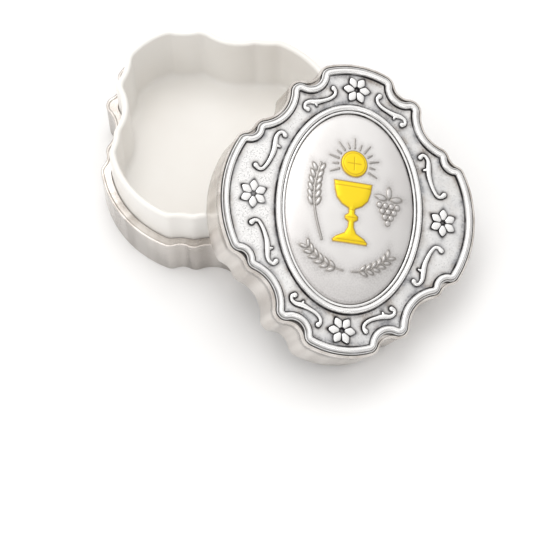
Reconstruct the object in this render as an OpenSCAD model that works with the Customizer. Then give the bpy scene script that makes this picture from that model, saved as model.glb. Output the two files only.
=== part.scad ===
// Lobed keepsake box: a silver-toned tray with a white inner cup, and a telescoping lid that
// carries a cast ornamental frame round a domed oval plaque.
// The base stands on z = 0 with its long axis along Y. The lid is off and leans on the rim.

/* [Outline] */
// Centre of the box to the tip of the field's end lobes, along Y
end_reach = 34.2; // [34:0.1:34.4]
// Centre of the box to the tip of the field's side lobes, along X
side_reach = 30.2; // [30:0.1:30.4]
// Corner circle that closes each end lobe, from the long axis
end_corner_x = 6.75; // [6.6:0.05:6.9]
// The same corner circle, from the short axis
end_corner_y = 32.45; // [32.3:0.05:32.6]
// Corner circle between the end scoop and the long hollow, from the long axis
end_shoulder_x = 14.15; // [14:0.05:14.3]
// The same corner circle, from the short axis
end_shoulder_y = 27.25; // [27.1:0.05:27.4]
// Corner circle between the long hollow and the side scoop, from the long axis
side_shoulder_x = 22.15; // [22:0.05:22.3]
// The same corner circle, from the short axis
side_shoulder_y = 16.15; // [16:0.05:16.3]
// Corner circle that closes each side lobe, from the long axis
side_corner_x = 26.65; // [26.5:0.05:26.8]
// The same corner circle, from the short axis
side_corner_y = 12.15; // [12.05:0.05:12.3]
// Radius of the corner circles at the field's edge
corner_r = 0.5; // [0.5:0.05:0.6]
// Radius of the small scoops beside the end lobes
end_scoop_r = 5.2; // [5.1:0.1:5.5]
// Radius of the long hollows across the diagonals
hollow_r = 10.7; // [10.4:0.1:11]
// Radius of the small scoops beside the side lobes
side_scoop_r = 3.9; // [3.8:0.1:4.1]

/* [Base] */
// Height of the silver tray, up to the ledge that the lid lands on
ledge_h = 11.6; // [10:0.1:11.8]
// Height of the white lip above the floor that the box stands on
lip_h = 21.2; // [20.5:0.1:21.3]
// How far the cup stands in from the tray's outer edge
ledge_w = 2.6; // [2.5:0.05:2.7]
// Bottom of the silver tray
tray_floor = 1.4; // [1:0.1:2]
// Gap between the tray and the cup inside it
cup_gap = 0.15; // [0.1:0.05:0.2]
// Radius that fills the cup's scoops and hollows
cup_fill = 12; // [11:0.5:12]
// Radius that rounds the cup's corners
cup_corner = 2; // [1.5:0.25:2.5]
// Wall of the white cup
cup_wall = 1.7; // [1.5:0.1:2]
// Floor of the white cup
cup_floor = 1.6; // [1.2:0.1:2.4]
// Radius of the rounded lip
lip_round = 0.8; // [0.5:0.1:0.9]

/* [Lid] */
// Depth of the skirt inside, from its open edge to the deck
skirt_depth = 10; // [9.8:0.1:10.2]
// Wall of the skirt
skirt_wall = 1.3; // [1.2:0.05:1.3]
// Thickness of the deck that carries the frame and the plaque
deck_t = 1.4; // [1:0.1:2]
// Height of the thin rim that stands round the cast frame
rim_h = 1; // [0.6:0.1:1.2]
// Width of that rim
rim_w = 0.6; // [0.5:0.05:0.7]
// How far the rim stands out past the skirt
rim_out = 0.25; // [0.1:0.05:0.3]

/* [Frame] */
// Thickness of the casting under its field
plate_t = 0.9; // [0.7:0.1:1.2]
// Width of the rounded bead that follows the outline
bead_w = 1.35; // [1.2:0.05:1.4]
// Height of that bead above the field
bead_h = 1; // [0.7:0.1:1.2]
// Width of the small step outside the bead
step_w = 0.5; // [0.45:0.05:0.55]
// Half width of the oval ring, at its outer edge
oval_x = 18.65; // [18.4:0.05:18.8]
// Half length of the oval ring, at its outer edge
oval_y = 26.2; // [26:0.05:26.4]
// Width of the oval ring
oval_w = 2.2; // [2:0.1:2.4]
// Height of the oval ring's outer ridge above the field
oval_h = 1.1; // [0.8:0.1:1.3]
// Distance from the centre to the flowers on the long axis
flower_y = 30.3; // [30.1:0.1:30.4]
// Distance from the centre to the flowers on the short axis
flower_x = 24.25; // [24.1:0.05:24.4]
// Reach of a petal from the middle of its flower
petal_reach = 3.3; // [3:0.1:3.4]
// How far the flowers and scrolls stand above the field
relief_h = 0.55; // [0.4:0.05:0.7]

/* [Plaque] */
// Rise of the domed plaque from its edge to its middle
dome_rise = 1.8; // [1.4:0.1:2.2]
// Thickness of the pressed sheet
sheet_t = 0.35; // [0.3:0.05:0.4]
// Height of the pressed emblems above the dome
emblem_h = 0.4; // [0.3:0.05:0.5]

/* [Leaning lid] */
// Slope of the lid's deck from the level
lean_slope = 23.1; // [23.1:0.01:23.12]
// Direction in which the lid slopes down, from +X
lean_heading = -77.04; // [-77.1:0.02:-77]
// Turn of the lid about its own axis
lean_turn = -40; // [-40.1:0.05:-39.9]
// Middle of the skirt's open edge, along X
lean_x = 7.3; // [7.2:0.05:7.4]
// Middle of the skirt's open edge, along Y
lean_y = -34; // [-34.02:0.01:-33.98]
// Middle of the skirt's open edge, above the floor
lean_z = 12.4; // [12.4:0.01:12.44]

/* [Hidden] */

silver_tone = "#b9b1a8";
pearl_tone = "#cfc9c1";
cast_tone = "#c9c9cb";
cup_tone = "#f1efea";
core_tone = "#8d8a86";
sheet_tone = "#dcd8d3";

end_corner = [end_corner_x, end_corner_y];
end_shoulder = [end_shoulder_x, end_shoulder_y];
side_shoulder = [side_shoulder_x, side_shoulder_y];
side_corner = [side_corner_x, side_corner_y];
oval_out = [oval_x, oval_y];

body_d = bead_w + step_w + 0.5;      // outline of the skirt and the tray, outside the field
scoop_fill = 4;                      // plain walls run over the scoops with this radius
deck_z = skirt_depth + deck_t;       // top of the lid's deck, from the skirt's open edge
field_z = deck_z + plate_t;          // the ornamental field
sunk = 0.25;                         // how deep raised ornament starts inside the plate

// Steps along each arc of a quadrant
lobe_steps = 5;
corner_steps = 3;
scoop_steps = 5;
hollow_steps = 6;

// ---------------------------------------------------------------- outline from tangent arcs

function heading(v) = atan2(v.y, v.x);

// Centre of a circle of radius r that touches two corner circles of radius corner_r from outside
function scoop_centre(p, q, r) =
    let (gap = norm(q - p), along = (q - p) / gap, reach = corner_r + r)
    p + along * gap / 2 + [-along.y, along.x] * sqrt(reach * reach - gap * gap / 4);

// How far out on its axis the circle lies that ends at `tip` and holds the corner circle at [u, v]
function lobe_centre(tip, u, v) =
    let (k = tip - corner_r) (k * k - u * u - v * v) / (2 * (k - v));

// n points on a circle from heading a towards b, without the last one
function arc(c, r, a, b, n) =
    [for (i = [0 : n - 1]) let (t = a + (b - a) * i / n) c + r * [cos(t), sin(t)]];
function arc_cw(c, r, a, b, n) = arc(c, r, a, b > a ? b - 360 : b, n);
function arc_ccw(c, r, a, b, n) = arc(c, r, a, b < a ? b + 360 : b, n);

end_c = [0, lobe_centre(end_reach, end_corner.x, end_corner.y)];
side_c = [lobe_centre(side_reach, side_corner.y, side_corner.x), 0];
end_scoop_c = scoop_centre(end_corner, end_shoulder, end_scoop_r);
hollow_c = scoop_centre(end_shoulder, side_shoulder, hollow_r);
side_scoop_c = scoop_centre(side_shoulder, side_corner, side_scoop_r);

// Outward corner circle at p, between the arcs centred on `before` and `after`, moved out by d
function corner(p, before, after, d) =
    arc_cw(p, corner_r + d, heading(before), heading(after), corner_steps);

// Inward arc between the corner circles at p and q, moved out by d
function scoop(c, r, p, q, d, n) = arc_ccw(c, r - d, heading(p - c), heading(q - c), n);

// One quadrant, from the end lobe's tip to the side lobe's tip, moved out by d
function quadrant(d) = concat(
    arc_cw(end_c, end_reach - end_c.y + d, 90, heading(end_corner - end_c), lobe_steps),
    corner(end_corner, end_corner - end_c, end_scoop_c - end_corner, d),
    scoop(end_scoop_c, end_scoop_r, end_corner, end_shoulder, d, scoop_steps),
    corner(end_shoulder, end_scoop_c - end_shoulder, hollow_c - end_shoulder, d),
    scoop(hollow_c, hollow_r, end_shoulder, side_shoulder, d, hollow_steps),
    corner(side_shoulder, hollow_c - side_shoulder, side_scoop_c - side_shoulder, d),
    scoop(side_scoop_c, side_scoop_r, side_shoulder, side_corner, d, scoop_steps),
    corner(side_corner, side_scoop_c - side_corner, side_corner - side_c, d),
    arc_cw(side_c, side_reach - side_c.x + d, heading(side_corner - side_c), 0, lobe_steps),
    [[side_reach + d, 0]]);

// A quadrant's points carried round the other three, clockwise
function four_ways(q) =
    let (n = len(q))
    concat(
        q,
        [for (i = [n - 2 : -1 : 0]) [q[i].x, -q[i].y]],
        [for (i = [1 : n - 1]) [-q[i].x, -q[i].y]],
        [for (i = [n - 2 : -1 : 1]) [-q[i].x, q[i].y]]);

function outline_points(d) = four_ways(quadrant(d));

// Oval with as many points as the outline, so that the two join into one surface
function oval_points(half) =
    let (n = len(quadrant(0)) - 1)
    four_ways([for (i = [0 : n]) [half.x * sin(90 * i / n), half.y * cos(90 * i / n)]]);

// The plain walls' outline, whose scoops are shallower than the casting's
module body_outline(inset = 0) {
    offset(delta = -inset)
        offset(r = -scoop_fill, $fn = 36)
            offset(delta = scoop_fill)
                polygon(outline_points(body_d));
}

// The cup's outline, softer than the tray's, moved in by `inset`
module cup_outline(inset = 0) {
    offset(r = cup_corner, $fn = 40)
        offset(delta = -cup_corner - inset)
            offset(r = -cup_fill, $fn = 72)
                offset(delta = cup_fill)
                    body_outline(ledge_w);
}

// ---------------------------------------------------------------- sweeps and lofts

// Triangles between two neighbouring rings that start at the indices a and b, n points in each
function band(a, b, n) =
    [for (j = [0 : n - 1]) let (k = (j + 1) % n) each [[a + j, a + k, b + k], [a + j, b + k, b + j]]];

// Rings of equal length, each clockwise seen from its end, joined into a solid with two caps
module loft(rings) {
    n = len(rings[0]);
    top = len(rings) - 1;
    polyhedron(
        [for (r = rings) each r],
        concat(
            [[for (j = [n - 1 : -1 : 0]) j]],
            [for (i = [0 : top - 1]) each band(i * n, (i + 1) * n, n)],
            [[for (j = [0 : n - 1]) top * n + j]]),
        convexity = 6);
}

// The same, with the last ring joined to the first
module ring_solid(rings) {
    n = len(rings[0]);
    rows = len(rings);
    polyhedron(
        [for (r = rings) each r],
        [for (i = [0 : rows - 1]) each band((i + 1) % rows * n, i * n, n)],
        convexity = 6);
}

function at_height(points, z) = [for (p = points) [p.x, p.y, z]];

// ---------------------------------------------------------------- base

// Silver tray: bottom, wall, and a fine bead along the outer edge of the ledge
module base_tray() {
    bead_rise = 0.3;
    bead_width = 0.75;
    color(silver_tone)
        difference() {
            union() {
                linear_extrude(ledge_h - bead_rise)
                    body_outline();
                translate([0, 0, ledge_h - bead_rise])
                    linear_extrude(bead_rise)
                        difference() {
                            body_outline();
                            body_outline(bead_width);
                        }
            }
            translate([0, 0, tray_floor])
                linear_extrude(ledge_h)
                    cup_outline(-cup_gap);
        }
}

// White cup: floor, wall and the rounded lip that the lid slides over
module base_cup() {
    steps = 3;
    chamfer = 0.5;
    straight = lip_h - tray_floor - lip_round;
    color(cup_tone)
        translate([0, 0, tray_floor])
            difference() {
                for (i = [0 : steps - 1])
                    let (low = i == 0 ? 0 : straight, top = straight + lip_round * sin(90 * (i + 1) / steps))
                    translate([0, 0, low])
                        linear_extrude(top - low)
                            cup_outline(lip_round * (1 - cos(90 * i / steps)));
                translate([0, 0, cup_floor])
                    linear_extrude(lip_h)
                        cup_outline(cup_wall);
                translate([0, 0, lip_h - tray_floor - chamfer])
                    linear_extrude(lip_h)
                        cup_outline(cup_wall - chamfer);
            }
}

// ---------------------------------------------------------------- lid, in its own upright frame

// Puts a lid piece, drawn upright on z = 0, where the lid leans against the rim
module leaning() {
    translate([lean_x, lean_y, lean_z])
        rotate([0, 0, lean_heading])
            rotate([0, lean_slope, 0])
                rotate([0, 0, lean_turn - lean_heading])
                    children();
}

// Plain skirt and deck, with the thin rim that stands round the casting
module lid_shell() {
    rim_root = 0.4;      // how deep the rim starts inside the deck
    color(pearl_tone)
        leaning() {
            difference() {
                linear_extrude(deck_z)
                    body_outline();
                translate([0, 0, -1])
                    linear_extrude(skirt_depth + 1)
                        body_outline(skirt_wall);
            }
            translate([0, 0, deck_z - rim_root])
                linear_extrude(rim_h + rim_root)
                    difference() {
                        body_outline(-rim_out);
                        body_outline(rim_w - rim_out);
                    }
        }
}

// Half outline of a petal, as shares of its reach
petal_side = [[0.24, 0.08], [0.45, 0.2], [0.7, 0.32], [0.9, 0.21], [1, 0.06]];
petal_shoulder = 0.12;               // height of the petal's edge, under its domed top
petal_crown = 0.6;                   // size of the petal's top beside its outline

// Domed petal that points along +X
module petal() {
    side = petal_reach * petal_side;
    edge = concat(side, [for (i = [len(side) - 1 : -1 : 0]) [side[i].x, -side[i].y]]);
    middle = [petal_reach * 0.66, 0];
    crown = [for (p = edge) middle + (p - middle) * petal_crown];
    loft([at_height(edge, -sunk), at_height(edge, petal_shoulder), at_height(crown, relief_h)]);
}

// Six-petalled flower with a small boss in the middle
module flower() {
    boss_r = 0.45;
    for (i = [0 : 5])
        rotate(60 * i)
            petal();
    translate([0, 0, -sunk])
        cylinder(r = boss_r, h = sunk + relief_h / 2, $fn = 10);
}

// Smooth curve through the waypoints of a path, `steps` points to each span
function smooth(path, steps) =
    let (last = len(path) - 1)
    concat(
        [for (i = [0 : last - 1], s = [0 : steps - 1])
            let (a = path[max(i - 1, 0)], b = path[i], c = path[i + 1], d = path[min(i + 2, last)])
            let (t = s / steps, bend = 2 * a - 5 * b + 4 * c - d, twist = 3 * b - a - 3 * c + d)
            b + ((c - a) * t + bend * t * t + twist * t * t * t) / 2],
        [path[last]]);

// Point past the end p of a path that comes from q, with a share of p's half width
function beyond(p, q, reach, share) =
    let (way = [p.x - q.x, p.y - q.y] / norm([p.x - q.x, p.y - q.y]))
    [p.x + way.x * p.z * reach, p.y + way.y * p.z * reach, p.z * share];

// The path with a rounded tip at both ends
function tipped(path) =
    let (n = len(path), a = path[0], b = path[n - 1])
    concat(
        [beyond(a, path[1], 0.95, 0.35), beyond(a, path[1], 0.6, 0.8)],
        path,
        [beyond(b, path[n - 2], 0.6, 0.8), beyond(b, path[n - 2], 0.95, 0.35)]);

// Cross-section of a ribbon, as [share of the half width, share of the height]
ribbon_section = [[-1, 0.1], [-0.6, 0.85], [0.6, 0.85], [1, 0.1]];

// Rounded ribbon along a path of [x, y, half width]
module ribbon(path) {
    n = len(path);
    loft([for (i = [0 : n - 1])
        let (ahead = path[min(i + 1, n - 1)] - path[max(i - 1, 0)])
        let (across = [-ahead.y, ahead.x] / norm([ahead.x, ahead.y]) * path[i].z)
        let (height = relief_h * min(1, 0.4 + path[i].z))
        concat(
            [[path[i].x - across.x, path[i].y - across.y, -sunk]],
            [for (s = ribbon_section) [path[i].x + across.x * s.x, path[i].y + across.y * s.x, height * s.y]],
            [[path[i].x + across.x, path[i].y + across.y, -sunk]])]);
}

module scroll(path, spur) {
    ribbon(tipped(smooth(path, 2)));
    ribbon(spur);
}

// S-scroll beside an end flower: a bulb, a slim neck, a leaf spur and a curl
end_scroll = [
    [6, 29.7, 0.6], [5.45, 29, 0.42], [5.65, 28, 0.4], [6.75, 26.95, 0.42], [8.4, 26.15, 0.46],
    [10.2, 25.5, 0.62], [11.8, 25.3, 0.5], [12.85, 24.6, 0.42], [12.95, 23.65, 0.42], [12.2, 23.3, 0.58]];
end_spur = [[10.4, 25.5, 0.3], [10.25, 25.05, 0.36], [10, 24.55, 0.15]];
// S-scroll beside a side flower
side_scroll = [
    [24.2, 7.1, 0.6], [23.4, 6.45, 0.42], [22.4, 6.6, 0.4], [21.4, 7.9, 0.42], [20.55, 9.7, 0.5],
    [19.95, 11.6, 0.6], [19.75, 13.5, 0.62], [19.6, 15, 0.5], [18.95, 16.1, 0.42], [18.05, 16.4, 0.42],
    [17.45, 15.75, 0.58]];
side_spur = [[19.9, 12.95, 0.3], [19.2, 12.8, 0.36], [18.55, 12.6, 0.15]];

// Cross-sections of the casting, as [distance out from the oval or the outline, height]
oval_profile = [
    [-oval_w, deck_z],
    [-oval_w, field_z + oval_h * 0.32],
    [-oval_w * 0.9, field_z + oval_h * 0.6],
    [-oval_w * 0.75, field_z + oval_h * 0.55],
    [-oval_w * 0.66, field_z + oval_h * 0.3],
    [-oval_w * 0.52, field_z + oval_h * 0.78],
    [-oval_w * 0.34, field_z + oval_h],
    [-oval_w * 0.14, field_z + oval_h * 0.82],
    [0, field_z]];
bead_profile = [
    [0, field_z],
    [bead_w * 0.15, field_z + bead_h * 0.65],
    [bead_w * 0.5, field_z + bead_h],
    [bead_w * 0.85, field_z + bead_h * 0.65],
    [bead_w, field_z + bead_h * 0.2],
    [bead_w + step_w, field_z + bead_h * 0.2],
    [bead_w + step_w, deck_z]];

// Cast frame: one swept surface from the double-ridged oval ring over the field to the rounded
// bead and its step, with four flowers and eight scrolls on the field
module lid_frame() {
    color(cast_tone)
        leaning() {
            ring_solid(concat(
                [for (p = oval_profile) at_height(oval_points(oval_out + [p.x, p.x]), p.y)],
                [for (p = bead_profile) at_height(outline_points(p.x), p.y)]));
            translate([0, 0, field_z]) {
                for (s = [-1, 1]) {
                    translate([0, s * flower_y])
                        flower();
                    translate([s * flower_x, 0])
                        rotate(90)
                            flower();
                }
                for (mx = [0, 1], my = [0, 1])
                    mirror([mx, 0])
                        mirror([0, my]) {
                            scroll(end_scroll, end_spur);
                            scroll(side_scroll, side_spur);
                        }
            }
        }
}

// ---------------------------------------------------------------- plaque

plaque_gap = 0.1;                       // between the plaque and the oval ring round it
plaque_half = oval_out - [1, 1] * (oval_w + plaque_gap);
edge_z = field_z + 0.15;                // top of the plaque at its edge
dome_rows = 6;
dome_steps = 60;

// Oval ring of the dome at a share r of its half axes
function dome_ring(r, z) =
    [for (j = [0 : dome_steps - 1]) let (t = 360 * j / dome_steps)
        [plaque_half.x * r * sin(t), plaque_half.y * r * cos(t), z]];

// Solid under the dome surface raised by `lift`, down to `low`, with a small flat top
module dome(low, lift = 0) {
    loft(concat(
        [dome_ring(1, low)],
        [for (i = [0 : dome_rows - 1])
            let (t = 90 * i / dome_rows)
            dome_ring(cos(t), edge_z + lift + dome_rise * pow(sin(t), 1.6))]));
}

// Moulded core that backs the pressed sheet
module plaque_core() {
    color(core_tone)
        leaning()
            dome(deck_z, -sheet_t);
}

// Half outline of the cup on the plaque, as [half width, height]
cup_profile = [
    [0, -9.2], [4.3, -9.2], [4.5, -8.6], [3.6, -7.7], [1.5, -6.6], [0.8, -5.2], [0.75, -3.9], [1.7, -3.2],
    [1.7, -2.4], [0.8, -1.7], [0.85, -0.6], [2.6, 0.3], [4, 1.8], [4.6, 3.8], [4.9, 6.2], [0, 6.2]];

// Cup with a round wafer over it
module cup_emblem() {
    polygon(concat(
        cup_profile,
        [for (i = [len(cup_profile) - 2 : -1 : 1]) [-cup_profile[i].x, cup_profile[i].y]]));
    translate([0, 10.8])
        circle(r = 3.4, $fn = 28);
}

// Grain or leaf, pointed at both ends
module grain(length, width) {
    polygon([
        [-length, 0], [-length * 0.5, width * 0.8], [length * 0.1, width], [length, 0],
        [length * 0.1, -width], [-length * 0.5, -width * 0.8]]);
}

// Ear of wheat on a bent stalk at the left of the cup
function ear_point(t) = [-7 - 2.6 * sin(150 * t), -9 + 19 * t];

module wheat_ear() {
    stalk = 0.22;
    steps = 7;
    polygon([
        for (i = [0 : steps]) ear_point(i / steps) - [stalk, 0],
        for (i = [steps : -1 : 0]) ear_point(i / steps) + [stalk, 0]]);
    for (i = [0 : 5], side = [-1, 1])
        translate(ear_point(0.46 + 0.09 * i) + [side * 1.05, 0.5])
            rotate(90 - side * 24)
                grain(1.05, 0.5);
}

// Bunch of grapes under three leaves at the right of the cup
module grape_bunch() {
    pitch = 1.6;
    grape_r = 0.7;
    translate([9.4, 1.6]) {
        for (row = [0 : 3], i = [0 : 3 - row])
            translate([(i - (3 - row) / 2) * pitch, -row * pitch * 0.9])
                circle(r = grape_r, $fn = 10);
        for (turn = [10, 90, 170])
            translate([2.1 * cos(turn), 1.6 + 1.6 * sin(turn)])
                rotate(turn)
                    grain(1.5, 0.7);
    }
}

// Pressed silver sheet with the cup, the wheat and the grapes raised in it
module plaque_sheet() {
    color(sheet_tone)
        leaning()
            difference() {
                union() {
                    dome(edge_z - sheet_t);
                    intersection() {
                        linear_extrude(edge_z + dome_rise + 1) {
                            cup_emblem();
                            wheat_ear();
                            grape_bunch();
                        }
                        dome(edge_z - sheet_t, emblem_h);
                    }
                }
                dome(0, -sheet_t);
            }
}

base_tray();
base_cup();
lid_shell();
lid_frame();
plaque_core();
plaque_sheet();
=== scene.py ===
import math
import bpy
import bmesh
import numpy as np
from mathutils import Matrix, Vector


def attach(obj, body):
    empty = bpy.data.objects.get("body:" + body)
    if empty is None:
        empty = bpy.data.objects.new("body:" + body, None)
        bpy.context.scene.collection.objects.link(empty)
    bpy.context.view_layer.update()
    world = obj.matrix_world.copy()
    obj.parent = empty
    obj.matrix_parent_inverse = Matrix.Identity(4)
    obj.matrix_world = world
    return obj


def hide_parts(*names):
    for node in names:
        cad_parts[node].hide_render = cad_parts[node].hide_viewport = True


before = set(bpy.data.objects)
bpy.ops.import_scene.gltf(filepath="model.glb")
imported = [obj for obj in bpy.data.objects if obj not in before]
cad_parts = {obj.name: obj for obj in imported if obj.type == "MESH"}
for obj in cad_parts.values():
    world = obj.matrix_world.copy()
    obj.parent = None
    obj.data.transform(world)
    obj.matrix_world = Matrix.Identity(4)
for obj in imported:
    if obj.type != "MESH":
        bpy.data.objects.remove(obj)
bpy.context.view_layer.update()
print("frame loaded:", sorted(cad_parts))

mm = 0.001
farOff = 1e9      # further than anything measured here
tiny = 1e-9

# the cast frame's outline in millimetres, as in the solid model
outline = {
    "endReach": 34.2,
    "sideReach": 30.2,
    "endCorner": (6.75, 32.45),
    "endShoulder": (14.15, 27.25),
    "sideShoulder": (22.15, 16.15),
    "sideCorner": (26.65, 12.15),
    "cornerRadius": 0.5,
    # radii of the three inward arcs of a quadrant, from the end lobe to the side lobe
    "inwardArcs": {"casting": (5.2, 10.7, 3.9), "walls": (6.35, 10.7, 6.35), "cup": (11.75, 11.75, 11.75)},
    "wallOffset": 2.35,      # how far the plain walls stand outside the casting's field
    "arcPoints": (12, 9, 14, 9, 13),
    "cornerPoints": 6,
}

# where the lid leans, in the base's frame, in millimetres and degrees
leaning = {"seat": (7.3, -34.0, 12.4), "heading": -77.04, "slope": 23.1, "turn": -40.0}
leanMatrix = (Matrix.Translation(leaning["seat"])
              @ Matrix.Rotation(math.radians(leaning["heading"]), 4, "Z")
              @ Matrix.Rotation(math.radians(leaning["slope"]), 4, "Y")
              @ Matrix.Rotation(math.radians(leaning["turn"] - leaning["heading"]), 4, "Z"))


# outlines and meshes

def circlesMeet(a, ra, b, rb, near):
    gap = b - a
    d = np.linalg.norm(gap)
    along = gap / d
    x = (d * d + ra * ra - rb * rb) / (2 * d)
    y = math.sqrt(max(ra * ra - x * x, 0.0))
    side = np.array([-along[1], along[0]])
    both = [a + along * x + side * y, a + along * x - side * y]
    return min(both, key=lambda p: np.linalg.norm(p - near))


def arcBetween(centre, radius, start, end, count, clockwise):
    a = math.atan2(start[1] - centre[1], start[0] - centre[0])
    b = math.atan2(end[1] - centre[1], end[0] - centre[0])
    if clockwise and b > a:
        b -= 2 * math.pi
    if not clockwise and b < a:
        b += 2 * math.pi
    t = a + (b - a) * np.arange(count) / count
    return centre + radius * np.stack([np.cos(t), np.sin(t)], 1)


def outlineRing(offset, shape="casting", leastRound=0.0, density=1):
    o = outline
    corners = [np.array(o[k]) for k in ("endCorner", "endShoulder", "sideShoulder", "sideCorner")]
    small = o["cornerRadius"]
    k = o["endReach"] - small
    endLobe = np.array([0.0, (k * k - corners[0] @ corners[0]) / (2 * (k - corners[0][1]))])
    k = o["sideReach"] - small
    sideLobe = np.array([(k * k - corners[3] @ corners[3]) / (2 * (k - corners[3][0])), 0.0])
    scoopRadii = o["inwardArcs"][shape]
    outside = np.array([60.0, 60.0])      # picks the centre that lies outside the box
    scoops = [circlesMeet(corners[i], small + r, corners[i + 1], small + r, outside)
              for i, r in enumerate(scoopRadii)]
    centres = [endLobe, *scoops, sideLobe]
    radii = [o["endReach"] - endLobe[1] + offset, *[r - offset for r in scoopRadii],
             o["sideReach"] - sideLobe[0] + offset]
    rounded = max(small + offset, leastRound)
    spots = []
    for i, p in enumerate(corners):
        if small + offset < leastRound:
            reach = [radii[j] - rounded if j in (0, 4) else radii[j] + rounded for j in (i, i + 1)]
            p = circlesMeet(centres[i], reach[0], centres[i + 1], reach[1], p)
        spots.append(p)

    def touch(arc, spot):      # where a main arc meets a corner circle
        away = (spot - centres[arc]) / np.linalg.norm(spot - centres[arc])
        return centres[arc] + away * radii[arc]

    counts = [count * density for count in o["arcPoints"]]
    rows = []
    start = np.array([0.0, endLobe[1] + radii[0]])
    for i, spot in enumerate(spots):
        stop = touch(i, spot)
        rows.append(arcBetween(centres[i], radii[i], start, stop, counts[i], i == 0))
        start = touch(i + 1, spot)
        rows.append(arcBetween(spot, rounded, stop, start, o["cornerPoints"] * density, True))
    tip = np.array([sideLobe[0] + radii[4], 0.0])
    rows.append(arcBetween(sideLobe, radii[4], start, tip, counts[4], True))
    q = np.vstack(rows + [tip[None]])
    whole = np.vstack([q, q[-2::-1] * (1, -1), q[1:] * (-1, -1), q[-2:0:-1] * (-1, 1)])
    return whole[::-1]


def lift(points, z):
    return np.column_stack([points, np.broadcast_to(z, len(points))])


# rings joined one to the next; capped at both ends, or closed into a loop
def ringMesh(name, rings, loop=False, place=None):
    n, count = len(rings[0]), len(rings)
    j = np.arange(n)
    faces = []
    for i in range(count if loop else count - 1):
        a, b = i * n, (i + 1) % count * n
        faces.append(np.stack([a + j, a + (j + 1) % n, b + (j + 1) % n, b + j], 1))
    polygons = np.vstack(faces).tolist()
    if not loop:
        polygons.append(list(range(n - 1, -1, -1)))
        polygons.append(list(range((count - 1) * n, count * n)))
    mesh = bpy.data.meshes.new(name)
    mesh.from_pydata(np.vstack(rings).tolist(), [], polygons)
    if place is not None:
        mesh.transform(place)
    mesh.transform(Matrix.Scale(mm, 4))
    return mesh


def outwardFaces(mesh):
    bm = bmesh.new()
    bm.from_mesh(mesh)
    bmesh.ops.remove_doubles(bm, verts=bm.verts, dist=1e-7)
    bmesh.ops.recalc_face_normals(bm, faces=bm.faces)
    bm.to_mesh(mesh)
    bm.free()


def addPiece(mesh, body, material, replacing=(), sharpAngle=38):
    outwardFaces(mesh)
    mesh.shade_smooth()
    mesh.set_sharp_from_angle(angle=math.radians(sharpAngle))
    mesh.materials.clear()
    mesh.materials.append(material)
    obj = bpy.data.objects.new(mesh.name, mesh)
    bpy.context.scene.collection.objects.link(obj)
    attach(obj, body)
    if replacing:
        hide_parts(*replacing)


def pointValues(mesh, name, values):
    layer = mesh.attributes.new(name, "FLOAT", "POINT")
    layer.data.foreach_set("value", np.asarray(values, np.float32))


# plan position of every point, the same all the way up a wall, so that the painted reflection streaks run straight up
# it
def footPlaces(mesh, rings):
    middle = rings[len(rings) // 2][:, :2]
    layer = mesh.attributes.new("foot", "FLOAT_VECTOR", "POINT")
    flat = np.column_stack([np.tile(middle, (len(rings), 1)), np.zeros(len(rings) * len(middle))])
    layer.data.foreach_set("vector", flat.astype(np.float32).ravel())
    return mesh


# node helpers, for materials and Geometry Nodes alike

def makeNode(tree, kind, inputs=(), **settings):
    node = tree.nodes.new(kind)
    for label, value in settings.items():
        setattr(node, label, value)
    for target, source in dict(inputs).items():
        socket = node.inputs[target]
        if hasattr(source, "is_linked"):
            tree.links.new(source, socket)
        else:
            socket.default_value = source
    return node


def mathNode(tree, operation, a, b=0.0, clamp=False):
    return makeNode(tree, "ShaderNodeMath", {0: a, 1: b}, operation=operation, use_clamp=clamp).outputs[0]


def times(tree, a, b, clamp=False):
    return mathNode(tree, "MULTIPLY", a, b, clamp)


def remap(tree, value, low, high, outLow=0.0, outHigh=1.0):
    return makeNode(tree, "ShaderNodeMapRange", {"Value": value, "From Min": low, "From Max": high,
                                                 "To Min": outLow, "To Max": outHigh}).outputs[0]


def mixColours(tree, factor, first, second):
    node = makeNode(tree, "ShaderNodeMix", {0: factor}, data_type="RGBA")
    sockets = [s for s in node.inputs if s.type == "RGBA"]
    for socket, colour in zip(sockets, (first, second)):
        if isinstance(colour, tuple):
            socket.default_value = (*colour, 1.0)
        else:
            tree.links.new(colour, socket)
    return [s for s in node.outputs if s.type == "RGBA"][0]


def objectNoise(tree, scale, detail=2.0, roughness=0.5):
    where = makeNode(tree, "ShaderNodeTexCoord").outputs["Object"]
    return makeNode(tree, "ShaderNodeTexNoise", {"Vector": where, "Scale": scale, "Detail": detail,
                                                 "Roughness": roughness}).outputs["Fac"]


def attributeOf(tree, name, output="Fac"):
    return makeNode(tree, "ShaderNodeAttribute", attribute_name=name).outputs[output]


def newFinish(name, sockets=()):
    material = bpy.data.materials.new(name)
    material.use_nodes = True
    tree = material.node_tree
    shader = tree.nodes["Principled BSDF"]
    for label, value in dict(sockets).items():
        shader.inputs[label].default_value = value
    return material, tree, shader


def addBump(tree, shader, height, strength, distance):
    bump = makeNode(tree, "ShaderNodeBump", {"Height": height, "Strength": strength, "Distance": distance})
    tree.links.new(bump.outputs["Normal"], shader.inputs["Normal"])


# finishes: a noise is [scale, detail, roughness], a span is [from, to, becomes, becomes],
# and a bump is [strength, distance in metres]

pearlLook = {
    "sockets": {"Metallic": 0.8, "Coat Weight": 0.3, "Coat Roughness": 0.2},
    # painted reflection: upright streaks of lighter and darker pearl stand in for the reflections in the glossy walls
    "reflectionStreakScale": 0.3,      # per millimetre along the wall's foot
    "reflectionStreakDetail": 1.2,
    "reflectionStreakSpan": (0.36, 0.62),
    "pearlAndReflectionColours": ((0.49, 0.445, 0.405), (0.75, 0.71, 0.67)),
    "flake": (5200, 1),
    "flakeSpan": (0.42, 0.62, 0, 0.45),
    "flakeColour": (0.82, 0.79, 0.76),
    "cloud": (60, 2),
    "roughness": (0.3, 0.7, 0.2, 0.3),
    "bump": (0.1, 0.00002),
}


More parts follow.
